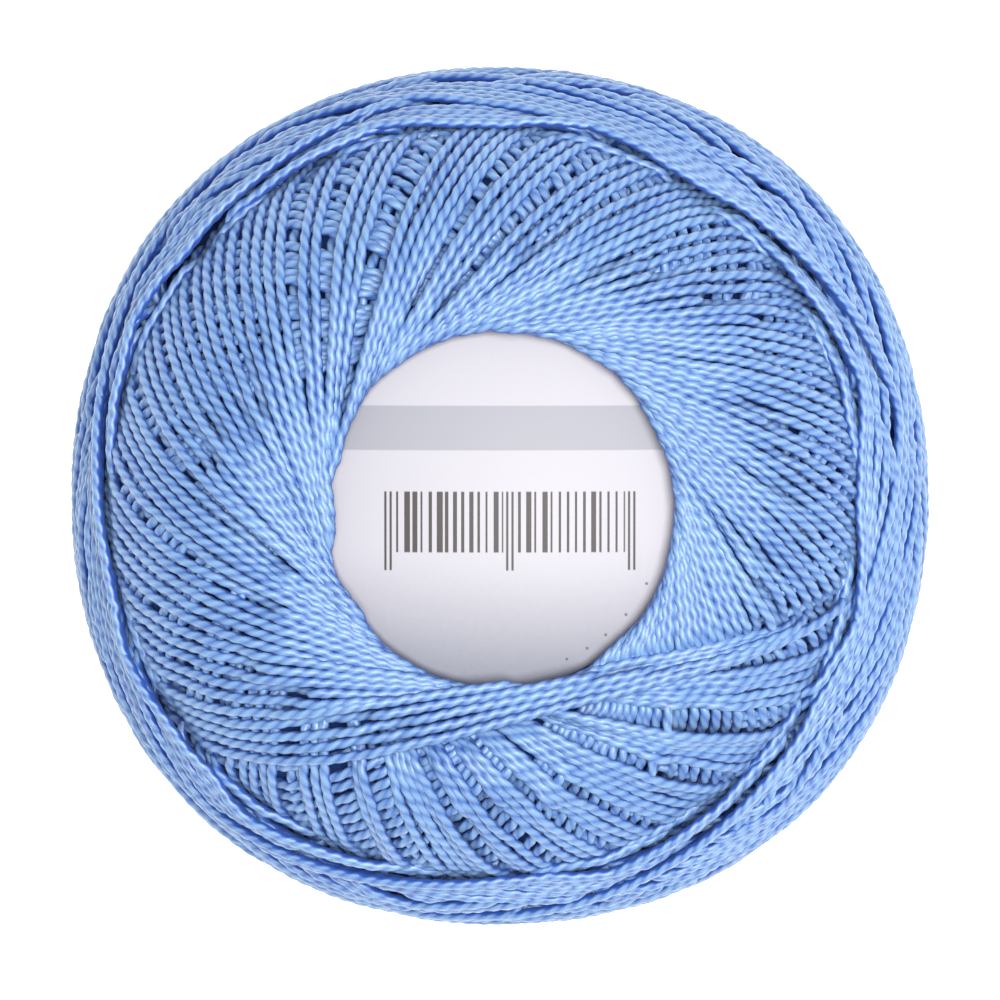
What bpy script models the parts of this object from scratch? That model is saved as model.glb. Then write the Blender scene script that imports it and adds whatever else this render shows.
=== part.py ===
"""A ball of crochet cotton: one thread wound into a squat ball, with a round paper label at each end.

The ball lies on its lower end, so the upper label faces +Z. Its axis is Z, and the origin is at the
middle of the ring that it rests on. Each face carries the swirl of the winding, in which every thread
leaves the ring round the label as a tangent and runs out to the waist. A belt of nearly level turns
goes round the waist, a little tilted, and holds the faces. Each ridge here is a bundle of threads.
"""

import math

import bmesh
import bpy

for old in list(bpy.data.objects):
    bpy.data.objects.remove(old)

# Driving dimensions of the ball, in metres and radians
BALL_RADIUS = 0.0270
BALL_HEIGHT = 0.0400
OPENING_RADIUS = 0.0103
LIP_DROP = 0.0013
REST_RING_INNER = 0.0122
REST_RING_OUTER = 0.0134
BELT_THICKNESS = 0.0007
BELT_EDGE_RADIUS = 0.0229
BELT_RISE = 0.0018
BELT_RISES_TOWARDS = math.radians(-10)
FACE_RIDGE_DEPTH = 0.0005
BELT_RIDGE_DEPTH = 0.00035

# Driving dimensions of a label, in metres
LABEL_RADIUS = 0.0106
LABEL_THICKNESS = 0.00035
LABEL_CROWN_BELOW_REST = 0.0008
LABEL_DOME = 0.0013
CLEARANCE = 0.0003

# How finely the surfaces are divided
FACE_RIDGES = 48
BELT_RIDGES = 12
LIP_STEPS = 4
FACE_STEPS = 6
LABEL_SIDES = 48
LABEL_RINGS = 4
CORNER_ANGLE = math.radians(50)
VALLEY_ANGLE = math.radians(12)

HALF_HEIGHT = BALL_HEIGHT / 2
FACE_REACH = BALL_RADIUS - BELT_THICKNESS - REST_RING_OUTER
SEAT_RADIUS = LABEL_RADIUS + CLEARANCE
COLUMNS = 2 * FACE_RIDGES


def label_height(radius):
    """Height of a label's outer face above the middle of the ball, at this distance from the axis."""
    crown = HALF_HEIGHT - LABEL_CROWN_BELOW_REST
    return crown - LABEL_DOME * (radius / LABEL_RADIUS) ** 2


def seat_height(radius):
    """Height of the thread under a label, which follows the label's dome."""
    return label_height(radius) - LABEL_THICKNESS - CLEARANCE


def swirl(radius):
    """Angle that a thread has turned through since it touched the ring round the label."""
    return math.acos(min(1.0, OPENING_RADIUS / radius))


def shoulder(angle, proud=0.0):
    """Radius and height on the side, half an ellipse from the upper rest ring at 0 to the lower one at pi."""
    radius = REST_RING_OUTER + FACE_REACH * math.sin(angle)
    height = HALF_HEIGHT * math.cos(angle)
    across, up = math.sin(angle) / FACE_REACH, math.cos(angle) / HALF_HEIGHT
    length = math.hypot(across, up)
    return radius + proud * across / length, height + proud * up / length


BELT_EDGE_ANGLE = math.asin((BELT_EDGE_RADIUS - REST_RING_OUTER) / FACE_REACH)
BELT_EDGE_HEIGHT = shoulder(BELT_EDGE_ANGLE)[1]


def belt_edge(azimuth, side):
    """Angle down the shoulder of the belt's upper edge, with side 1, or of its lower edge, with side -1."""
    rise = BELT_RISE * math.cos(azimuth - BELT_RISES_TOWARDS)
    return math.acos((side * BELT_EDGE_HEIGHT + rise) / HALF_HEIGHT)


def face_line(start, depth, side):
    """Points of one face along a thread, from the seat under the label out to the belt's edge.

    Each is a radius, a height and an azimuth. Start is the azimuth at which the thread touches the ring
    round the label, and depth is how far the line lies below the ridges beside it. The ring that the ball
    rests on has no ridges.
    """
    points = [
        (SEAT_RADIUS / 2, side * seat_height(SEAT_RADIUS / 2), start),
        (SEAT_RADIUS, side * seat_height(SEAT_RADIUS), start),
        (SEAT_RADIUS, side * (label_height(SEAT_RADIUS) + CLEARANCE), start),
    ]
    for step in range(LIP_STEPS):
        share = step / LIP_STEPS
        radius = OPENING_RADIUS + (REST_RING_INNER - OPENING_RADIUS) * share**2
        height = HALF_HEIGHT - LIP_DROP * (1 - share) ** 2 - depth * share
        points.append((radius, side * height, start - swirl(radius)))
    ring_depth = depth if side > 0 else 0.0
    for radius in (REST_RING_INNER, REST_RING_OUTER):
        points.append((radius, side * (HALF_HEIGHT - ring_depth), start - swirl(radius)))
    edge = belt_edge(start - swirl(BELT_EDGE_RADIUS), side)
    first = 0.0 if side > 0 else math.pi
    for step in range(1, FACE_STEPS + 1):
        radius, height = shoulder(first + (edge - first) * step / FACE_STEPS, -depth)
        points.append((radius, height, start - swirl(radius)))
    return points


def belt_line(upper_azimuth, lower_azimuth):
    """Points of the belt from its upper edge to its lower one, up and down over its level ridges."""
    upper = belt_edge(upper_azimuth, 1)
    lower = belt_edge(lower_azimuth, -1)
    steps = 2 * BELT_RIDGES
    points = []
    for step in range(steps + 1):
        share = step / steps
        depth = BELT_RIDGE_DEPTH * (step % 2)
        radius, height = shoulder(upper + (lower - upper) * share, BELT_THICKNESS - depth)
        points.append((radius, height, upper_azimuth + (lower_azimuth - upper_azimuth) * share))
    return points


def thread_line(column):
    """Points down the whole ball on one line, on a ridge of the faces or in the valley beside it."""
    start = math.tau * column / COLUMNS
    depth = FACE_RIDGE_DEPTH * (column % 2)
    upper = face_line(start, depth, 1)
    lower = face_line(start, depth, -1)
    return upper + belt_line(upper[-1][2], lower[-1][2]) + lower[::-1]


def add_point(mesh, radius, height, azimuth):
    """A vertex at this radius, height and azimuth."""
    return mesh.verts.new((radius * math.cos(azimuth), radius * math.sin(azimuth), height))


def join_lines(mesh, first, second):
    """A strip of faces between two lines of as many vertices."""
    for index in range(len(first) - 1):
        mesh.faces.new((first[index], first[index + 1], second[index + 1], second[index]))


def close_ring(mesh, ring, height):
    """A fan from a ring of vertices to a point on the axis."""
    middle = add_point(mesh, 0.0, height, 0.0)
    for index in range(len(ring)):
        mesh.faces.new((middle, ring[index], ring[(index + 1) % len(ring)]))


def turned_body(mesh, lines, first_height, last_height):
    """A closed body from lines that stand side by side round the axis, with a fan over each end."""
    for index in range(len(lines)):
        join_lines(mesh, lines[index], lines[(index + 1) % len(lines)])
    close_ring(mesh, [line[0] for line in lines], first_height)
    close_ring(mesh, [line[-1] for line in lines], last_height)


def cotton_material():
    """Blue mercerised cotton, with the soft gloss of twisted thread."""
    material = bpy.data.materials.new("blue_cotton")
    material.use_nodes = True
    shader = material.node_tree.nodes["Principled BSDF"]
    shader.inputs["Base Color"].default_value = (0.19, 0.38, 0.80, 1.0)
    shader.inputs["Roughness"].default_value = 0.55
    shader.inputs["Metallic"].default_value = 0.0
    return material


def paper_material():
    """White label paper with a faint lilac cast."""
    material = bpy.data.materials.new("label_paper")
    material.use_nodes = True
    shader = material.node_tree.nodes["Principled BSDF"]
    shader.inputs["Base Color"].default_value = (0.80, 0.79, 0.84, 1.0)
    shader.inputs["Roughness"].default_value = 0.6
    shader.inputs["Metallic"].default_value = 0.0
    return material


def finished_object(name, mesh, material):
    """An object of this mesh, facing out and smooth but for its valleys and corners.

    It stands on the plane of the rest ring.
    """
    bmesh.ops.recalc_face_normals(mesh, faces=mesh.faces)
    if mesh.calc_volume(signed=True) < 0:
        bmesh.ops.reverse_faces(mesh, faces=mesh.faces)
    for face in mesh.faces:
        face.smooth = True
    for edge in mesh.edges:
        edge.smooth = edge.calc_face_angle() < (CORNER_ANGLE if edge.is_convex else VALLEY_ANGLE)
    data = bpy.data.meshes.new(name)
    mesh.to_mesh(data)
    mesh.free()
    data.materials.append(material)
    made = bpy.data.objects.new(name, data)
    made.location.z = HALF_HEIGHT
    bpy.context.scene.collection.objects.link(made)
    return made


def wound_thread(material):
    """The thread of the ball, solid to its axis, with a seat for a label at each end."""
    mesh = bmesh.new()
    lines = [[add_point(mesh, *point) for point in thread_line(column)] for column in range(COLUMNS)]
    turned_body(mesh, lines, seat_height(0.0), -seat_height(0.0))
    return finished_object("thread_ball", mesh, material)


def label(name, material, side):
    """A domed disc of label paper. Side is 1 at the upper end and -1 at the lower one."""
    mesh = bmesh.new()
    radii = [LABEL_RADIUS * ring / LABEL_RINGS for ring in range(1, LABEL_RINGS + 1)]
    profile = [(radius, side * label_height(radius)) for radius in radii]
    profile += [(radius, side * (label_height(radius) - LABEL_THICKNESS)) for radius in reversed(radii)]
    lines = []
    for column in range(LABEL_SIDES):
        azimuth = math.tau * column / LABEL_SIDES
        lines.append([add_point(mesh, radius, height, azimuth) for radius, height in profile])
    turned_body(mesh, lines, side * label_height(0.0), side * (label_height(0.0) - LABEL_THICKNESS))
    return finished_object(name, mesh, material)


wound_thread(cotton_material())
paper = paper_material()
label("label_front", paper, 1)
label("label_back", paper, -1)
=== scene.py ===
import math

import bmesh
import bpy
import numpy as np
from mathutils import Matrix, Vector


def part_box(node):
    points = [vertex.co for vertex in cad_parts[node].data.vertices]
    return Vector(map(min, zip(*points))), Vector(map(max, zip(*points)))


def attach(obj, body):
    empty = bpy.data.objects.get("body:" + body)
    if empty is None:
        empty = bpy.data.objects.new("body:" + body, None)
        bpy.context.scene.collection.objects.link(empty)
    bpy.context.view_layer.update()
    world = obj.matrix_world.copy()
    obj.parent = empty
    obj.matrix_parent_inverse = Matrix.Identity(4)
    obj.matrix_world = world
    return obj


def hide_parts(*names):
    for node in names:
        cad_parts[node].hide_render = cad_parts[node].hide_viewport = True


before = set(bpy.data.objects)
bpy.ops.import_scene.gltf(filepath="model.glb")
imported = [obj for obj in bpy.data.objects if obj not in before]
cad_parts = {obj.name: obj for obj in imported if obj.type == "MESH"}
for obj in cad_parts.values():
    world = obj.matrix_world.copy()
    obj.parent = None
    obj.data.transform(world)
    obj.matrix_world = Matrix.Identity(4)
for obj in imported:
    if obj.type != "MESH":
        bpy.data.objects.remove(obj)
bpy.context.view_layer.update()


# The heart of the ball
# The ball is one cotton thread, wound by machine round and round until it is a squat ball. Under the turns
# that show lies more of the same thread. This body stands for it. It shows in the gaps, in a dark blue
# that is painted shade: the thread itself is paler, but little light reaches this deep.
millimetre = 0.001
ball_low, ball_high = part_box("thread_ball")
waist_level = (ball_low.z + ball_high.z) / 2
half_height = (ball_high.z - ball_low.z) / 2
belt_thickness = 0.7 * millimetre
waist_radius = (ball_high.x - ball_low.x) / 2 - belt_thickness
lip_radius = 10.1 * millimetre
lip_drop = 1.3 * millimetre
ring_inner = 12.2 * millimetre
ring_outer = 13.4 * millimetre
lip_points = 60
shoulder_points = 400
outline_step = 0.1 * millimetre


def outline_of_the_form():
    """The outline that the thread is wound to, from the lip round a label out to the waist.

    It rolls up from the lip, is flat in a ring, and falls in a quarter ellipse to the waist. Three arrays
    give the distance along it, its radius and its height above the waist.
    """
    lip = np.linspace(0, 1, lip_points)[:-1]
    turn = np.linspace(0, math.pi / 2, shoulder_points)
    radius = np.concatenate([
        lip_radius + (ring_inner - lip_radius) * lip**2,
        [ring_inner],
        ring_outer + (waist_radius - ring_outer) * np.sin(turn),
    ])
    height = np.concatenate([
        half_height - lip_drop * (1 - lip) ** 2,
        [half_height],
        half_height * np.cos(turn),
    ])
    along = np.concatenate([[0], np.cumsum(np.hypot(np.diff(radius), np.diff(height)))])
    even = np.linspace(0, along[-1], int(along[-1] / outline_step))
    return even, np.interp(even, along, radius), np.interp(even, along, height)


form_along, form_radius, form_height = outline_of_the_form()
form_run = np.gradient(form_radius, form_along)
form_fall = -np.gradient(form_height, form_along)
waist_along = form_along[-1]


def from_the_nearer_lip(along):
    """Distance from the nearer lip, for a distance that may run on past the waist towards the lower lip."""
    return waist_along - np.abs(waist_along - along)


def radius_at(along):
    """Radius of the form at a distance along its outline."""
    return np.interp(from_the_nearer_lip(along), form_along, form_radius)


def place_on_form(along, azimuth, proud):
    """Points at a distance along the outline and an azimuth, standing proud of the form by some height."""
    near = from_the_nearer_lip(along)
    side = np.where(along <= waist_along, 1.0, -1.0)
    radius = np.interp(near, form_along, form_radius) + proud * np.interp(near, form_along, form_fall)
    height = np.interp(near, form_along, form_height) + proud * np.interp(near, form_along, form_run)
    level = waist_level + side * height
    return np.stack([radius * np.cos(azimuth), radius * np.sin(azimuth), level], axis=-1)


label_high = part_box("label_front")[1]
label_radius = label_high.x
label_dome = 1.3 * millimetre
label_crown = label_high.z - waist_level


def label_height(radius):
    """Height of a label's outer face above the waist, at a distance from the axis."""
    return label_crown - label_dome * (radius / label_radius) ** 2


heart_start = 1.2 * millimetre
heart_below_label = 0.9 * millimetre
heart_depth_under_fans = 2.6 * millimetre
heart_depth_under_belt = 1.1 * millimetre
fans_alone_radius = 20.5 * millimetre
under_belt_radius = 23.5 * millimetre
heart_rings = 120
heart_sides = 180


def heart_outline():
    """Radii and heights of the heart, from its top on the axis to its bottom on the axis."""
    along = np.linspace(heart_start, 2 * waist_along - heart_start, heart_rings)
    depth = np.interp(radius_at(along), [fans_alone_radius, under_belt_radius],
                      [heart_depth_under_fans, heart_depth_under_belt])
    places = place_on_form(along, np.zeros_like(along), -depth)
    seat = label_height(label_radius) - heart_below_label
    radii = [0.0, places[0][0]] + list(places[:, 0]) + [places[-1][0], 0.0]
    levels = [waist_level + seat] * 2 + list(places[:, 2]) + [waist_level - seat] * 2
    return radii, levels


def turned_mesh(name, radii, heights, sides):
    """A closed body turned round the axis. Its outline starts and ends on the axis."""
    mesh = bmesh.new()
    angles = [math.tau * side / sides for side in range(sides)]
    round_places = [(math.cos(angle), math.sin(angle)) for angle in angles]
    rings = []
    for radius, height in zip(radii, heights):
        ring_places = round_places if radius > 0 else [(0, 0)]
        rings.append([mesh.verts.new((radius * x, radius * y, height)) for x, y in ring_places])
    for upper, lower in zip(rings, rings[1:]):
        for side in range(sides):
            following = (side + 1) % sides
            corners = [upper[side % len(upper)], lower[side % len(lower)], lower[following % len(lower)],
                       upper[following % len(upper)]]
            mesh.faces.new(list(dict.fromkeys(corners)))
    bmesh.ops.recalc_face_normals(mesh, faces=mesh.faces)
    if mesh.calc_volume(signed=True) < 0:
        bmesh.ops.reverse_faces(mesh, faces=mesh.faces)
    for face in mesh.faces:
        face.smooth = True
    data = bpy.data.meshes.new(name)
    mesh.to_mesh(data)
    mesh.free()
    made = bpy.data.objects.new(name, data)
    bpy.context.scene.collection.objects.link(made)
    return made


def fill_inputs(made, inputs):
    """Gives a node's inputs their values or links. An input is named, or given as i and its number."""
    for key, value in inputs.items():
        numbered = key[0] == "i" and key[1:].isdigit()
        socket = made.inputs[int(key[1:]) if numbered else key]
        if isinstance(value, bpy.types.NodeSocket):
            made.id_data.links.new(value, socket)
        else:
            socket.default_value = value


def node_maker(tree):
    """A short way of adding a node to a tree, with its settings and its inputs."""
    def node(kind, settings=None, **inputs):
        made = tree.nodes.new(kind)
        for key, value in (settings or {}).items():
            setattr(made, key, value)
        fill_inputs(made, inputs)
        return made

    return node


def blend_of(node, share, first, second):
    """A colour that goes from the first to the second as a share goes from 0 to 1."""
    settings = {"data_type": "RGBA", "clamp_factor": True}
    return node("ShaderNodeMix", settings, i0=share, i6=first, i7=second).outputs[2]


def relief_of(node, height, strength, depth):
    """A normal for the relief of a pattern."""
    return node("ShaderNodeBump", Height=height, Strength=strength, Distance=depth).outputs[0]


def started_material(name):
    """A new material, the short way of adding nodes to it, and its shader."""
    material = bpy.data.materials.new(name)
    material.use_nodes = True
    tree = material.node_tree
    return material, node_maker(tree), tree.nodes["Principled BSDF"]


# The heart's blues are painted shade, darker than the cotton's own colour.
heart_painted_shade_dark = (0.015, 0.050, 0.215, 1)
heart_painted_shade_pale = (0.047, 0.124, 0.440, 1)
rib_scale = 900.0
rib_depth = 0.2 * millimetre


def heart_material():
    """Cotton deep in the ball, ribbed by the turns that cross there, in a dark blue of painted shade."""
    material, node, shader = started_material("deep_cotton")
    place = node("ShaderNodeTexCoord").outputs["Object"]
    ribs = node("ShaderNodeTexNoise", Vector=place, Scale=rib_scale, Detail=2.0).outputs["Fac"]
    fill_inputs(shader, {
        "Base Color": blend_of(node, ribs, heart_painted_shade_dark, heart_painted_shade_pale),
        "Normal": relief_of(node, ribs, strength=0.8, depth=rib_depth),
        "Roughness": 0.9,
        "Specular IOR Level": 0.1,
    })
    return material


heart = turned_mesh("wound_heart", *heart_outline(), heart_sides)
heart.data.materials.append(heart_material())
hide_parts("thread_ball")
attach(heart, "root")


# The fans of thread on the two faces
# Each turn comes up from the waist, touches the ring round the label and goes down again, a few degrees
# on from the one before. It is laid on those wound earlier, bridges their hollows and is pressed by the
# next. The thread is two plies of mercerised cotton with an S twist.
thread_width = 0.67 * millimetre
twist_length = 2.0 * millimetre
crease_depth = 0.20
rings_in_a_twist = 9
ring_step = twist_length / rings_in_a_twist
steps_in_a_ring = 3
path_step = ring_step / steps_in_a_ring
patch = 0.1 * millimetre
patches_round = 1000
places_across = 11
middle_place = places_across // 2
across = np.linspace(-1, 1, places_across) * thread_width / 2
across_rise = np.sqrt(np.clip((thread_width / 2) ** 2 - across**2, 0, None))
bridging_rounds = 5


def eased(share):
    """A share from 0 to 1 that starts and ends level."""
    return share * share * (3 - 2 * share)


def smoothed(values, reach):
    """Values along a path, averaged over a number of steps to each side."""
    padded = np.concatenate([np.full(reach, values[0]), values, np.full(reach, values[-1])])
    return np.convolve(padded, np.ones(2 * reach + 1) / (2 * reach + 1), mode="valid")


def new_pile():
    """The height of the thread over each small patch of the form, by distance along and by azimuth."""
    return np.zeros((int(2 * waist_along / patch) + 2, patches_round))


def lay_turn(pile, along, azimuth, pressed, bridging, held=0):
    """Lays a stretch of thread on the pile, and returns the height of its middle and what it covers.

    Pressed is how tall the thread stands for its width, which is less where many turns crowd together.
    Bridging is the number of steps that the taut thread spans to each side of a high place. Held is the
    number of steps at its end that don't raise the pile yet, so that the next stretch joins on level.
    """
    radius = radius_at(along)
    run = np.gradient(along)
    turn = np.gradient(azimuth) * radius
    length = np.hypot(run, turn)
    rows = (along[:, None] - across[None, :] * (turn / length)[:, None]) / patch
    columns = azimuth[:, None] + across[None, :] * (run / length / radius)[:, None]
    rows = np.clip(np.rint(rows).astype(int), 0, pile.shape[0] - 1)
    columns = np.rint(columns * patches_round / math.tau).astype(int) % patches_round
    rise = pressed[:, None] * across_rise[None, :]
    resting = (pile[rows, columns] + rise).max(axis=1)
    middle = resting
    for _ in range(bridging_rounds):
        middle = np.maximum(resting, smoothed(middle, bridging))
    middle = smoothed(middle, bridging)
    top = middle[:, None] + rise
    settled = len(along) - held
    np.maximum.at(pile, (rows[:settled], columns[:settled]), top[:settled])
    return {
        "along": along,
        "azimuth": azimuth,
        "middle": middle,
        "rows": rows,
        "columns": columns,
        "top": top,
    }


blur_round_the_ball = 0.4
least_cover = 0.02
level_reach = 1.4 * millimetre
level_steps = 6
highest_proud = 0.22 * millimetre
lowest_sunk = 1.5 * millimetre
middle_below_form = 0.3 * millimetre


def blurred(values, reach):
    """An average round each patch, over about this reach in every direction."""
    rows = max(1, int(reach / patch))
    kernel = np.hanning(2 * rows + 3)[1:-1]
    padded = np.pad(values, ((rows, rows), (0, 0)), mode="edge")
    total = sum(weight * padded[k:k + values.shape[0]] for k, weight in enumerate(kernel)) / kernel.sum()
    spectrum = np.fft.rfft(total, axis=1)
    spread = blur_round_the_ball * reach / radius_at(np.arange(values.shape[0]) * patch)
    waves = np.arange(spectrum.shape[1])
    return np.fft.irfft(spectrum * np.exp(-0.5 * (spread[:, None] * waves) ** 2), n=patches_round, axis=1)


def evened(pile):
    """The pile's average height round each patch, counting only where thread lies."""
    covered = (pile > 0).astype(float)
    return blurred(pile, level_reach) / np.maximum(blurred(covered, level_reach), least_cover)


def pressed_down(turn, level):
    """How far the middle of a turn stands proud of the form, at each of its points.

    The form is taken to lie a little above the pile's own level. The tension of the thread presses the
    highest places flat and holds the lowest up.
    """
    under = smoothed(level[turn["rows"][:, middle_place], turn["columns"][:, middle_place]], level_steps)
    above = turn["middle"] - under
    proud = np.where(above > 0, above / (1 + np.maximum(above, 0) / highest_proud),
                     above / (1 + np.maximum(-above, 0) / lowest_sunk))
    return proud - middle_below_form


half_turn_points = 401
least_area = 1e-12


def half_turn_path(closest, waist_turn, lateness):
    """Half of a turn, from where it is closest to the axis out to the waist.

    It gives distances along the outline and the angles turned through since the closest point. Seen from
    the end of the ball the thread is a straight line. The fall of the shoulder bends it by the rest of
    waist_turn, sooner or later on the way.
    """
    start = np.interp(closest, form_radius, form_along)
    share = np.linspace(0, 1, half_turn_points)
    middle = (share[1:] + share[:-1]) / 2
    span = waist_along - start
    along = start + span * middle**2
    radius = radius_at(along)
    run = np.where(radius > ring_outer, np.interp(along, form_along, form_run), 1.0)
    rate = closest * (1 - run) / (radius * np.sqrt(np.maximum(radius**2 - closest**2, least_area)))
    bend = np.concatenate([[0], np.cumsum(rate * 2 * span * middle * (share[1] - share[0]))])
    along = start + span * share**2
    straight = np.arccos(np.clip(closest / radius_at(along), -1, 1))
    return along, straight + (waist_turn - straight[-1]) * (bend / bend[-1]) ** lateness


def evenly_spaced(along, azimuth):
    """The same path, with its points one step apart."""
    radius = radius_at(along)
    steps = np.hypot(np.diff(along), np.diff(azimuth) * (radius[1:] + radius[:-1]) / 2)
    length = np.concatenate([[0], np.cumsum(steps)])
    even = np.arange(0, length[-1], path_step)
    return np.interp(even, length, along), np.interp(even, length, azimuth)


drift_shares = (1.0, 0.6, 0.35)
drift_hurries = (0.7, 1.3)


def wandering(source, count, size, wavelength):
    """A slow sideways drift along a path, because no turn is laid perfectly true."""
    length = np.arange(count) * path_step
    drift = np.zeros(count)
    for share in drift_shares:
        hurry = source.uniform(*drift_hurries)
        start = source.uniform(0, math.tau)
        drift += size * share * np.sin(math.tau * length * hurry / (wavelength * share) + start)
    return drift


seen_within = 0.02 * millimetre
fewest_places_seen = 2
shortest_run = 4 * steps_in_a_ring


def seen_runs(pile, laid, kept_beyond):
    """The runs of each turn that can be seen, with a little more at their ends."""
    reach = int(kept_beyond / path_step)
    # Half of what one open step adds to an average over the reach
    half_a_step = 0.5 / (2 * reach + 1)
    runs = []
    for turn in laid:
        open_places = turn["top"] >= pile[turn["rows"], turn["columns"]] - seen_within
        shows = (open_places.sum(axis=1) >= fewest_places_seen) & turn["may_show"]
        shows = smoothed(shows.astype(float), reach) > half_a_step
        edges = np.flatnonzero(np.diff(np.concatenate([[0], shows.astype(int), [0]])))
        for first, last in zip(edges[::2], edges[1::2]):
            if last - first > shortest_run:
                runs.append((turn, first, last))
    return runs


def math_maker(node):
    """A short way of adding a math node, which gives its result."""
    def result_of(operation, first, second=0.0):
        return node("ShaderNodeMath", {"operation": operation}, i0=first, i1=second).outputs[0]

    return result_of


thread_sides = 8
crease_sharpness = 3.0


def thread_tree():
    """Geometry Nodes that sweep a twisted two-ply thread along every chain of edges.

    Each point of the thread also keeps how far along it lies, its place round the thread, how deep it
    lies in the crease between the plies, and how far it faces out of the ball.
    """
    tree = bpy.data.node_groups.new("two_ply_thread", "GeometryNodeTree")
    tree.interface.new_socket("Paths", in_out="INPUT", socket_type="NodeSocketGeometry")
    tree.interface.new_socket("Thread Width", in_out="INPUT", socket_type="NodeSocketFloat")
    tree.interface.new_socket("Twist Length", in_out="INPUT", socket_type="NodeSocketFloat")
    tree.interface.new_socket("Crease Depth", in_out="INPUT", socket_type="NodeSocketFloat")
    tree.interface.new_socket("Finish", in_out="INPUT", socket_type="NodeSocketMaterial")
    tree.interface.new_socket("Thread", in_out="OUTPUT", socket_type="NodeSocketGeometry")
    node = node_maker(tree)
    result_of = math_maker(node)

    def keeping(geometry, name, value, kind="FLOAT"):
        settings = {"data_type": kind, "domain": "POINT"}
        inputs = {"Geometry": geometry, "Name": name, "Value": value}
        return node("GeometryNodeStoreNamedAttribute", settings, **inputs).outputs[0]

    given = node("NodeGroupInput").outputs
    place = node("GeometryNodeInputPosition").outputs[0]

    length = node("GeometryNodeSplineParameter").outputs["Length"]
    twists = result_of("DIVIDE", length, given["Twist Length"])
    paths = node("GeometryNodeMeshToCurve", Mesh=given["Paths"]).outputs[0]
    paths = node("GeometryNodeSetCurveTilt", Curve=paths, Tilt=result_of("MULTIPLY", twists, -math.tau))
    paths = keeping(paths.outputs[0], "along", length)

    ply = node("GeometryNodeCurvePrimitiveCircle", Resolution=thread_sides, Radius=1.0).outputs[0]
    sideways = node("ShaderNodeSeparateXYZ", Vector=place).outputs[1]
    crease = result_of("POWER", result_of("ABSOLUTE", sideways), crease_sharpness)
    narrowed = result_of("SUBTRACT", 1.0, result_of("MULTIPLY", crease, given["Crease Depth"]))
    ply = keeping(ply, "crease", crease)
    ply = keeping(ply, "round", place, "FLOAT_VECTOR")
    drawn_in = node("ShaderNodeVectorMath", {"operation": "SCALE"}, Vector=place, Scale=narrowed).outputs[0]
    ply = node("GeometryNodeSetPosition", Geometry=ply, Position=drawn_in).outputs[0]

    radius = result_of("MULTIPLY", given["Thread Width"], 0.5)
    swept = node("GeometryNodeCurveToMesh", i0=paths, i1=ply, Scale=radius)
    fill_inputs(swept, {"Fill Caps": True})
    middle = (0, 0, waist_level)
    roundness = (waist_radius**-2, waist_radius**-2, half_height**-2)
    outward = node("ShaderNodeVectorMath", {"operation": "SUBTRACT"}, i0=place, i1=middle).outputs[0]
    outward = node("ShaderNodeVectorMath", {"operation": "MULTIPLY"}, i0=outward, i1=roundness).outputs[0]
    outward = node("ShaderNodeVectorMath", {"operation": "NORMALIZE"}, i0=outward).outputs[0]
    normal = node("GeometryNodeInputNormal").outputs[0]
    facing = node("ShaderNodeVectorMath", {"operation": "DOT_PRODUCT"}, i0=normal, i1=outward)
    thread = keeping(swept.outputs[0], "facing", facing.outputs["Value"])
    thread = node("GeometryNodeSetShadeSmooth", Geometry=thread).outputs[0]
    thread = node("GeometryNodeRealizeInstances", Geometry=thread).outputs[0]
    thread = node("GeometryNodeSetMaterial", Geometry=thread, Material=given["Finish"]).outputs[0]
    node("NodeGroupOutput", Thread=thread)
    return tree


def set_inputs(modifier, **values):
    """Sets a Geometry Nodes modifier's inputs, which are found by their names."""
    for item in modifier.node_group.interface.items_tree:
        name = item.name.replace(" ", "_")
        if item.in_out == "INPUT" and name in values:
            modifier[item.identifier] = values[name]


# The darker blue is painted shade, and also the dark end of the fibres' and strands' own tone.
painted_shade_and_dark_tone_blue = (0.019, 0.072, 0.340, 1)
unshaded_blue = (0.177, 0.325, 0.560, 1)
sheen_blue = (0.80, 0.90, 1.0, 1)
fibres_round = 3.2
fibres_along = 1100.0
fibre_depth = 0.04 * millimetre
mottle_scale = 260.0
crease_painted_shade = 0.70
crease_shade_spread = 0.8
fibre_weight = 0.6
mottle_weight = 0.35
# The sides of the thread that face into the ball get painted shade.
fully_shaded_facing = -0.15
unshaded_facing = 0.65


def ramp_of(node, value, start, end, shape="SMOOTHSTEP"):
    """A share that goes from 0 to 1 as a value goes from start to end."""
    return node("ShaderNodeMapRange", {"interpolation_type": shape}, Value=value, i1=start, i2=end).outputs[0]


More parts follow.
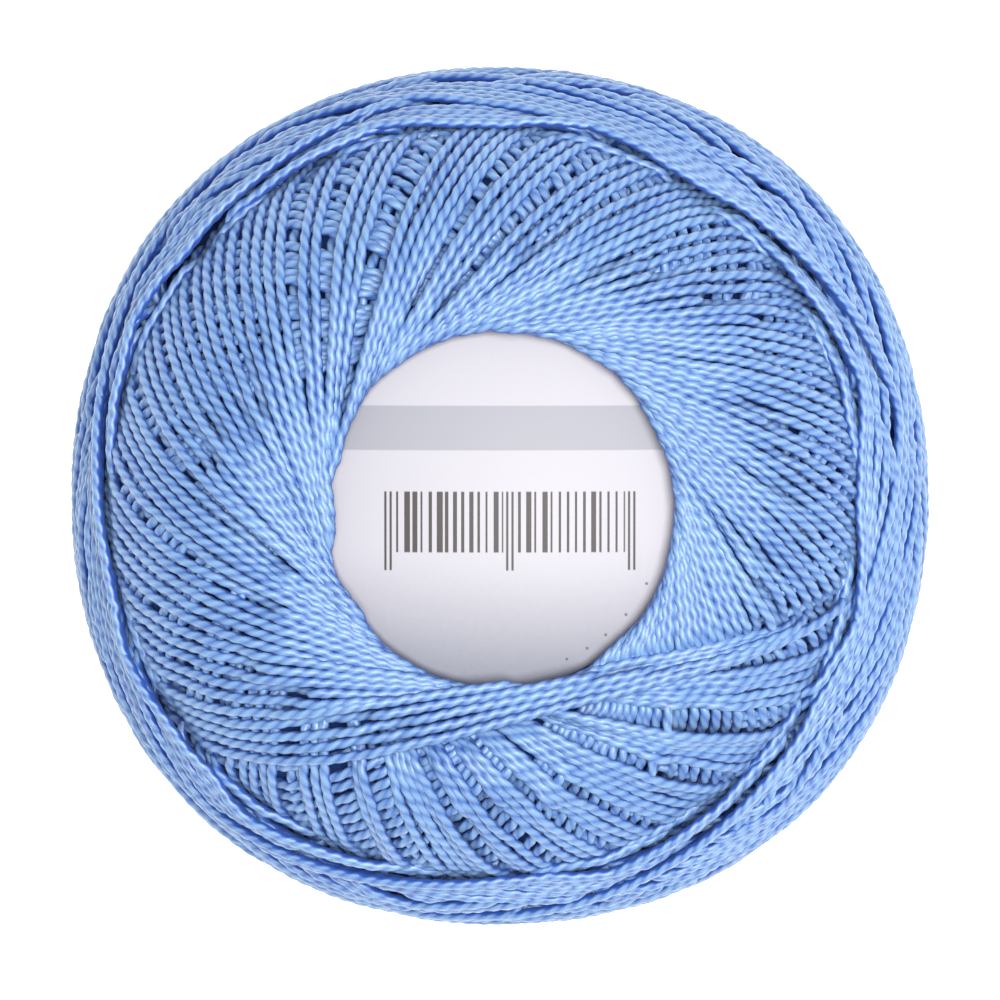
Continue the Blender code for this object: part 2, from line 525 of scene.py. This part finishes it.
def cotton_material():
    """Blue mercerised cotton, silky, with painted shade in its creases and on sides facing into the ball."""
    material, node, shader = started_material("mercerised_cotton")
    result_of = math_maker(node)

    def kept_by_thread(name, output="Fac"):
        return node("ShaderNodeAttribute", {"attribute_name": name}).outputs[output]

    def weighed(pattern, weight):
        return result_of("MULTIPLY", result_of("SUBTRACT", pattern, 0.5), weight)

    apart = node("ShaderNodeSeparateXYZ", Vector=kept_by_thread("round", "Vector")).outputs
    fibre_x = result_of("MULTIPLY", apart[0], fibres_round)
    fibre_y = result_of("MULTIPLY", apart[1], fibres_round)
    fibre_z = result_of("MULTIPLY", kept_by_thread("along"), fibres_along)
    fibre_place = node("ShaderNodeCombineXYZ", X=fibre_x, Y=fibre_y, Z=fibre_z).outputs[0]
    fibres = node("ShaderNodeTexNoise", Vector=fibre_place, Scale=1.0, Detail=3.0, Roughness=0.6)
    fibres = fibres.outputs["Fac"]
    place = node("ShaderNodeTexCoord").outputs["Object"]
    mottle = node("ShaderNodeTexNoise", Vector=place, Scale=mottle_scale, Detail=2.0).outputs["Fac"]

    # Painted shade in the creases and on sides facing in; the fibres, mottle and each strand's tone are real.
    deep = result_of("POWER", kept_by_thread("crease"), crease_shade_spread)
    unshaded_by_facing = ramp_of(node, kept_by_thread("facing"), fully_shaded_facing, unshaded_facing)
    pale = result_of("SUBTRACT", 1.0, result_of("MULTIPLY", deep, crease_painted_shade))
    pale = result_of("ADD", pale, result_of("SUBTRACT", unshaded_by_facing, 1.0))
    pale = result_of("ADD", pale, weighed(fibres, fibre_weight))
    pale = result_of("ADD", pale, weighed(mottle, mottle_weight))
    pale = result_of("ADD", pale, kept_by_thread("shade"))
    fill_inputs(shader, {
        "Base Color": blend_of(node, pale, painted_shade_and_dark_tone_blue, unshaded_blue),
        "Normal": relief_of(node, fibres, strength=0.5, depth=fibre_depth),
        "Roughness": 0.38,
        "Specular IOR Level": 0.6,
        "Sheen Weight": 0.08,
        "Sheen Roughness": 0.5,
        "Sheen Tint": sheen_blue,
    })
    return material


cotton = cotton_material()
thread_nodes = thread_tree()
most_rings_in_a_piece = 11500
end_length = 1.5 * millimetre
end_depth = 0.7 * millimetre


def thread_piece(name, runs, lowest_level):
    """One piece of two-ply thread from some runs. Each dives under its neighbours at both ends.

    Lowest_level is the lowest that the middle of the thread may lie.
    """
    places = []
    edges = []
    shades = []
    for turn, first, last in runs:
        pick = slice(first, last, steps_in_a_ring)
        proud = turn["proud"][pick]
        order = np.arange(len(proud))
        from_end = np.minimum(order, order[::-1]) * ring_step
        proud = proud - end_depth * (1 - np.minimum(from_end / end_length, 1)) ** 2
        points = place_on_form(turn["along"][pick], turn["azimuth"][pick], proud)
        points[:, 2] = np.maximum(points[:, 2], lowest_level)
        start = len(places)
        places.extend(tuple(point) for point in points)
        edges.extend((start + k, start + k + 1) for k in range(len(points) - 1))
        shades.extend(turn["shade"][pick])
    data = bpy.data.meshes.new(name)
    data.from_pydata(places, edges, [])
    data.attributes.new("shade", "FLOAT", "POINT").data.foreach_set("value", shades)
    paths = bpy.data.objects.new(name + "_paths", data)
    bpy.context.scene.collection.objects.link(paths)
    modifier = paths.modifiers.new("two_ply_thread", "NODES")
    modifier.node_group = thread_nodes
    set_inputs(modifier, Thread_Width=thread_width, Twist_Length=twist_length, Crease_Depth=crease_depth,
               Finish=cotton)
    evaluated = paths.evaluated_get(bpy.context.evaluated_depsgraph_get())
    swept = bpy.data.meshes.new_from_object(evaluated)
    swept.name = name
    bpy.data.objects.remove(paths)
    piece = bpy.data.objects.new(name, swept)
    bpy.context.scene.collection.objects.link(piece)
    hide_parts("thread_ball")
    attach(piece, "root")


def thread_pieces(name, runs, lowest_level=-math.inf):
    """Pieces that share out the runs, none of them too fine for its file."""
    group = []
    rings = 0
    number = 1
    for run in runs:
        size = (run[2] - run[1]) // steps_in_a_ring + 2
        if rings + size > most_rings_in_a_piece:
            thread_piece(f"{name}_{number}", group, lowest_level)
            group = []
            rings = 0
            number += 1
        group.append(run)
        rings += size
    thread_piece(f"{name}_{number}", group, lowest_level)


belt_edge_radius = 23.16 * millimetre
belt_edge_sway = 1.11 * millimetre
belt_low_side = math.radians(170)


def belt_edge_along(azimuth, side):
    """How far along the outline the belt's edge lies at an azimuth. Side is 1 for its upper edge."""
    radius = belt_edge_radius + side * belt_edge_sway * np.cos(azimuth - belt_low_side)
    return np.interp(radius, form_radius, form_along)


closest_touch = 10.2 * millimetre
closest_scatter = 0.16 * millimetre
ring_lengthening = 0.40 * millimetre
strand_scatter = 0.05 * millimetre
strand_openings = [0.0, 0.05 * millimetre, 0.14 * millimetre]
fewest_together = 2
most_together = 5
face_revolutions = 1.6
face_spacing = math.radians(2.8)
spacing_share = 0.88
spacing_scatter = 0.05
tight_gap = 0.25
loose_gap = 1.1
gap_shares = (0.3, 1.6)
loosest_side = math.radians(190)
last_spacing = math.radians(1.3)
last_strands = 5
last_inset = 0.2 * millimetre
last_opening = 0.52 * millimetre
gap_before_last = math.radians(9)


def fan_turns(source, last_touch):
    """The azimuth at which each turn touches the ring and how close to the axis it runs, oldest first.

    The turns lie in groups of a few, with gaps between that are widest on one side of the ball.
    """
    turns = []
    azimuth = last_touch - face_revolutions * math.tau
    while azimuth < last_touch - gap_before_last:
        strands = int(source.integers(fewest_together, most_together + 1))
        looseness = 0.5 + 0.5 * math.cos(azimuth - loosest_side)
        closest = closest_touch + abs(source.normal(0, closest_scatter))
        closest += ring_lengthening * math.sin(azimuth) ** 2
        opening = source.choice(strand_openings)
        for strand in range(strands):
            turns.append((azimuth, closest + strand * opening + source.normal(0, strand_scatter)))
            azimuth += face_spacing * (spacing_share + source.normal(0, spacing_scatter))
        azimuth += face_spacing * (tight_gap + loose_gap * looseness) * source.uniform(*gap_shares)
    for strand in range(last_strands):
        azimuth = last_touch - last_spacing * (last_strands - 1 - strand)
        turns.append((azimuth, closest_touch + last_inset + last_opening * strand))
    return turns


face_waist_turn = math.radians(89.0)
face_lateness = 1.25
face_reach_radius = 25.9 * millimetre
face_bridging = 10
least_touch = lip_radius + 0.03 * millimetre
face_drift = 0.05 * millimetre
face_drift_length = 9 * millimetre
steady_length = 1.5 * millimetre
loosening_length = 4 * millimetre
press_radii = [10.5 * millimetre, 13.0 * millimetre, 17.0 * millimetre]
press_heights = [0.36, 0.5, 0.75]
fans_show_beyond = 2.6 * millimetre
tuck_before_belt = 1.2 * millimetre
tuck_length = 2.6 * millimetre
tuck_depth = 0.5 * millimetre
ring_narrowing = 0.25 * millimetre
narrowing_length = 1.5 * millimetre
fan_ends_kept = 1.3 * millimetre
shade_scatter = 0.05


def wind_face(name, side, seed, last_touch, lowest_level=-math.inf):
    """Winds one face, side 1 above or -1 below, and makes its pieces.

    A lower face is wound as an upper one, and mirrored at the waist at the end.
    """
    source = np.random.default_rng(seed)
    pile = new_pile()
    laid = []
    end = np.interp(face_reach_radius, form_radius, form_along)
    for touch, closest in fan_turns(source, last_touch):
        along, turned = half_turn_path(max(closest, least_touch), face_waist_turn, face_lateness)
        kept = along < end
        along = along[kept]
        turned = turned[kept]
        along, azimuth = evenly_spaced(np.concatenate([along[:0:-1], along]),
                                       np.concatenate([touch + turned[:0:-1], touch - turned]))
        loosened = np.clip((along - steady_length) / loosening_length, 0, 1)
        along = along + loosened * wandering(source, len(along), face_drift, face_drift_length)
        pressed = np.interp(radius_at(along), press_radii, press_heights)
        turn = lay_turn(pile, along, azimuth, pressed, face_bridging)
        turn["beyond"] = along - belt_edge_along(azimuth, side)
        turn["may_show"] = turn["beyond"] < fans_show_beyond
        turn["shade"] = np.full(len(along), source.normal(0, shade_scatter))
        laid.append(turn)
    level = evened(pile)
    for turn in laid:
        tucked = tuck_depth * eased(np.clip((turn["beyond"] + tuck_before_belt) / tuck_length, 0, 1))
        near_lip = np.clip(1 - (radius_at(turn["along"]) - lip_radius) / narrowing_length, 0, 1)
        drawn_in = ring_narrowing * near_lip * np.cos(turn["azimuth"]) ** 2
        turn["proud"] = pressed_down(turn, level) - tucked + drawn_in
        if side < 0:
            turn["along"] = 2 * waist_along - turn["along"]
    thread_pieces(name, seen_runs(pile, laid, fan_ends_kept), lowest_level)


wind_face("upper_fan", side=1, seed=11, last_touch=math.radians(284.5))
wind_face("lower_fan", side=-1, seed=12, last_touch=math.radians(130.0), lowest_level=thread_width / 2)


# The belt over the waist
# The last of the cotton is wound in nearly level turns that hold the faces, as one unbroken thread. They are
# tilted a little, each group of them another way, so that they cross, and the tops of the turns lie side by
# side along the belt's edge.
belt_groups = 32
fewest_in_belt_group = 4
most_in_belt_group = 6
belt_last_touch = math.radians(318)
belt_moves_on = math.radians(137.5)
belt_touch_step = math.radians(2.4)
belt_strand_step = 0.6 * millimetre
belt_inset_scatter = 0.18 * millimetre


def belt_tops(source):
    """The azimuth at which each turn of the belt is highest and how close it comes there, oldest first."""
    tops = []
    for group in range(belt_groups):
        group_touch = belt_last_touch - belt_moves_on * (belt_groups - 1 - group)
        strands = int(source.integers(fewest_in_belt_group, most_in_belt_group + 1))
        inset = abs(source.normal(0, belt_inset_scatter))
        for strand in range(strands):
            touch = group_touch + belt_touch_step * strand
            edge = belt_edge_along(touch, 1) + inset + (strands - 1 - strand) * belt_strand_step
            tops.append((touch, float(np.interp(edge, form_along, form_radius))))
    return tops


belt_waist_turn = math.radians(90)
belt_lateness = 1.6


def belt_turn(touch, closest, next_touch, next_closest):
    """One turn of the belt, from its highest point down over the waist and up to the next turn's highest."""
    above, turned_above = half_turn_path(closest, belt_waist_turn, belt_lateness)
    below, turned_below = half_turn_path((closest + next_closest) / 2, belt_waist_turn, belt_lateness)
    after, turned_after = half_turn_path(next_closest, belt_waist_turn, belt_lateness)
    below = 2 * waist_along - below
    along = np.concatenate([above, below[-2::-1], below[1:], after[-2::-1]])
    azimuth = np.concatenate([-turned_above, turned_below[-2::-1] - math.pi, -math.pi - turned_below[1:],
                              turned_after[-2::-1] - math.tau])
    onward = (next_touch - touch + math.pi) % math.tau - math.pi
    return along, touch + azimuth + onward * eased(-azimuth / math.tau)


belt_pressed = 0.6
belt_bridging = 26
belt_held = 24
belt_smoothing = belt_bridging // 2
belt_shade_reach = 8 * belt_bridging
belt_drift = 0.10 * millimetre
belt_drift_length = 40 * millimetre
belt_squareness = 0.31 * millimetre
belt_ends_kept = 2.0 * millimetre


def wind_belt(seed):
    """Winds the belt as one unbroken thread and makes its pieces.

    The end of each turn raises the pile only once the next turn is laid. The outline of the belt is
    slightly square, with its corners between the axes.
    """
    source = np.random.default_rng(seed)
    pile = new_pile()
    laid = []
    tops = belt_tops(source)
    for (touch, closest), (next_touch, next_closest) in zip(tops, tops[1:]):
        along, azimuth = evenly_spaced(*belt_turn(touch, closest, next_touch, next_closest))
        loosened = np.sin(np.linspace(0, math.pi, len(along)))
        along = along + loosened * wandering(source, len(along), belt_drift, belt_drift_length)
        turn = lay_turn(pile, along, azimuth, np.full(len(along), belt_pressed), belt_bridging, belt_held)
        if laid:
            held = slice(-belt_held, None)
            before = laid[-1]
            np.maximum.at(pile, (before["rows"][held], before["columns"][held]), before["top"][held])
        turn["shade"] = np.full(len(along), source.normal(0, shade_scatter))
        laid.append(turn)
    whole = {key: np.concatenate([turn[key] for turn in laid]) for key in laid[0]}
    whole["middle"] = smoothed(whole["middle"], belt_smoothing)
    whole["shade"] = smoothed(whole["shade"], belt_shade_reach)
    whole["may_show"] = np.full(len(whole["along"]), True)
    square = -np.cos(4 * whole["azimuth"]) * belt_squareness
    whole["proud"] = pressed_down(whole, evened(pile)) + belt_thickness + square
    thread_pieces("belt", seen_runs(pile, [whole], belt_ends_kept))


wind_belt(seed=21)


# The two labels
# A round label of white paper closes each end of the ball. The thread round it holds it by its rim, so it
# bulges a little. The upper one is printed, and the lower one is plain.
# The paper's grey towards -Y is painted shade, not the paper's own colour.
paper_unshaded = (0.385, 0.388, 0.445, 1)
paper_painted_shade = (0.175, 0.190, 0.245, 1)
painted_shade_full_at = -12.0 * millimetre
painted_shade_gone_at = -1.5 * millimetre
grain_scale = 2600.0
grain_weight = 0.12
grain_depth = 0.03 * millimetre


def paper_material(name):
    """Smooth white label paper with a faint grain, and painted shade that greys it towards one edge."""
    material, node, shader = started_material(name)
    result_of = math_maker(node)
    place = node("ShaderNodeTexCoord").outputs["Object"]
    grain = node("ShaderNodeTexNoise", Vector=place, Scale=grain_scale, Detail=4.0).outputs["Fac"]
    # Painted shade: the paper greys towards -Y.
    unshaded_share = ramp_of(node, node("ShaderNodeSeparateXYZ", Vector=place).outputs[1], painted_shade_full_at, painted_shade_gone_at)
    flecks = result_of("MULTIPLY", result_of("SUBTRACT", grain, 0.5), grain_weight)
    unshaded_share = result_of("ADD", unshaded_share, flecks)
    fill_inputs(shader, {
        "Base Color": blend_of(node, unshaded_share, paper_painted_shade, paper_unshaded),
        "Normal": relief_of(node, grain, strength=0.15, depth=grain_depth),
        "Roughness": 0.55,
    })
    return material


band_grey = (0.262, 0.272, 0.325, 1)
band_foot = 3.6 * millimetre
band_top = 6.3 * millimetre
bar_ink = (0.032, 0.027, 0.030, 1)
bar_foot = -2.6 * millimetre
bar_top = 1.1 * millimetre
first_bar = -6.8 * millimetre
last_bar = 8.0 * millimetre
bar_cells = 30
thinnest_bar = 0.24
bar_growth = 0.60
guard_foot = -3.7 * millimetre
guard_inner = 0.09 * millimetre
guard_outer = 0.23 * millimetre
guard_clearance = 0.4 * millimetre
guard_blur = 0.02 * millimetre
ink_blur = 0.04 * millimetre
dot_ink = (0.08, 0.07, 0.08, 1)
dot_ring = 10.0 * millimetre
dot_half = 0.08 * millimetre
dot_azimuths = (-66, -58, -50, -40, -27)


def printed(material):
    """Adds the print: a plain grey band, generic bars that stand for no code, and dots near the rim."""
    tree = material.node_tree
    node = node_maker(tree)
    result_of = math_maker(node)
    shader = tree.nodes["Principled BSDF"]
    colour = shader.inputs["Base Color"].links[0].from_socket
    place = node("ShaderNodeTexCoord").outputs["Object"]
    place = node("ShaderNodeSeparateXYZ", Vector=place).outputs

    def between(value, low, high, blur=ink_blur):
        rise = ramp_of(node, value, low - blur, low + blur, "LINEAR")
        fall = ramp_of(node, value, high + blur, high - blur, "LINEAR")
        return result_of("MULTIPLY", rise, fall)

    colour = blend_of(node, between(place[1], band_foot, band_top), colour, band_grey)

    bar_step = (last_bar - first_bar) / bar_cells
    cell = result_of("DIVIDE", result_of("SUBTRACT", place[0], first_bar), bar_step)
    number = result_of("FLOOR", cell)
    chance = node("ShaderNodeTexWhiteNoise", {"noise_dimensions": "1D"}, W=number).outputs[0]
    growth = result_of("MULTIPLY", result_of("POWER", chance, 2.0), bar_growth)
    bars = result_of("LESS_THAN", result_of("FRACT", cell), result_of("ADD", thinnest_bar, growth))
    bars = result_of("MULTIPLY", bars, between(place[1], bar_foot, bar_top))
    bars = result_of("MULTIPLY", bars, between(place[0], first_bar, last_bar))
    for middle in (first_bar, (first_bar + last_bar) / 2, last_bar):
        cleared = between(place[0], middle - guard_clearance, middle + guard_clearance)
        bars = result_of("MULTIPLY", bars, result_of("SUBTRACT", 1.0, cleared))
        pair = result_of("ADD", between(place[0], middle - guard_outer, middle - guard_inner, guard_blur),
                         between(place[0], middle + guard_inner, middle + guard_outer, guard_blur))
        guard = result_of("MULTIPLY", pair, between(place[1], guard_foot, bar_top))
        bars = result_of("ADD", bars, guard)
    colour = blend_of(node, bars, colour, bar_ink)

    for dot_azimuth in dot_azimuths:
        dot_x = dot_ring * math.cos(math.radians(dot_azimuth))
        dot_y = dot_ring * math.sin(math.radians(dot_azimuth))
        dot = result_of("MULTIPLY", between(place[0], dot_x - dot_half, dot_x + dot_half),
                        between(place[1], dot_y - dot_half, dot_y + dot_half))
        colour = blend_of(node, dot, colour, dot_ink)
    fill_inputs(shader, {"Base Color": colour})
    return material


label_tucked = 0.35 * millimetre
paper_thickness = 0.2 * millimetre
label_rings = 24
label_sides = 144


def label_outline(side):
    """Radii and heights of a domed disc of paper, from the middle of its outer face to the middle behind."""
    radii = np.linspace(0, label_radius + label_tucked, label_rings)
    outer = waist_level + side * label_height(radii)
    inner = waist_level + side * (label_height(radii) - paper_thickness)
    return list(radii) + list(radii[::-1]), list(outer) + list(inner[::-1])


for name, node_name, side, finish in (
    ("printed_label", "label_front", 1, printed(paper_material("printed_paper"))),
    ("plain_label", "label_back", -1, paper_material("plain_paper")),
):
    paper = turned_mesh(name, *label_outline(side), label_sides)
    paper.data.materials.append(finish)
    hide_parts(node_name)
    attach(paper, "root")


# The floor and the light
# The ball lies on a plain, nearly white floor, under one wide soft light a little to the right of it and the
# even light of a pale room.
floor_reach = 2.0
board_grey = (0.94, 0.94, 0.94, 1)
board_white = (0.96, 0.96, 0.96, 1)


def floor_material():
    """Matt near-white board with the faintest mottle."""
    material, node, shader = started_material("white_board")
    place = node("ShaderNodeTexCoord").outputs["Object"]
    mottle = node("ShaderNodeTexNoise", Vector=place, Scale=3.0).outputs["Fac"]
    fill_inputs(shader, {
        "Base Color": blend_of(node, mottle, board_grey, board_white),
        "Roughness": 0.9,
        "Emission Color": (1, 1, 1, 1),
        "Emission Strength": 0.7,
    })
    return material


floor_corners = [(x * floor_reach, y * floor_reach, 0) for x, y in ((-1, -1), (1, -1), (1, 1), (-1, 1))]
floor_data = bpy.data.meshes.new("floor")
floor_data.from_pydata(floor_corners, [], [(0, 1, 2, 3)])
floor_data.materials.append(floor_material())
floor = bpy.data.objects.new("floor", floor_data)
bpy.context.scene.collection.objects.link(floor)

room = bpy.data.worlds.new("pale_room")
room.use_nodes = True
fill_inputs(room.node_tree.nodes["Background"], {"Color": (0.96, 0.98, 1.0, 1), "Strength": 0.38})
bpy.context.scene.world = room

lamp_data = bpy.data.lights.new("soft_light", "AREA")
lamp_data.shape = "DISK"
lamp_data.size = 0.5
lamp_data.energy = 9.4
lamp_data.color = (1.0, 0.955, 0.90)
lamp = bpy.data.objects.new("soft_light", lamp_data)
lamp.location = (0.11, -0.01, 0.72)
lamp.rotation_euler = lamp.location.to_track_quat("Z", "Y").to_euler()
bpy.context.scene.collection.objects.link(lamp)


# The photograph's view
# The ball is seen from nearly straight above through a long lens. The lens leans a little towards +Y, so
# the label, which lies high, shows below the middle of the outline.
picture_width = 62.6 * millimetre
lens_distance = 0.62
lens_lean = math.radians(2.6)

camera_data = bpy.data.cameras.new("camera")
camera_data.sensor_width = 36.0
camera_data.lens = camera_data.sensor_width * lens_distance / picture_width
camera_data.clip_start = 0.01
camera_data.clip_end = 10.0
camera_data.shift_y = -0.0045
camera = bpy.data.objects.new("camera", camera_data)
camera_height = waist_level + lens_distance * math.cos(lens_lean)
camera.location = (0.0, lens_distance * math.sin(lens_lean), camera_height)
camera.rotation_euler = (-lens_lean, 0.0, 0.0)
bpy.context.scene.collection.objects.link(camera)
bpy.context.scene.camera = camera
bpy.context.scene.view_settings.view_transform = "Standard"
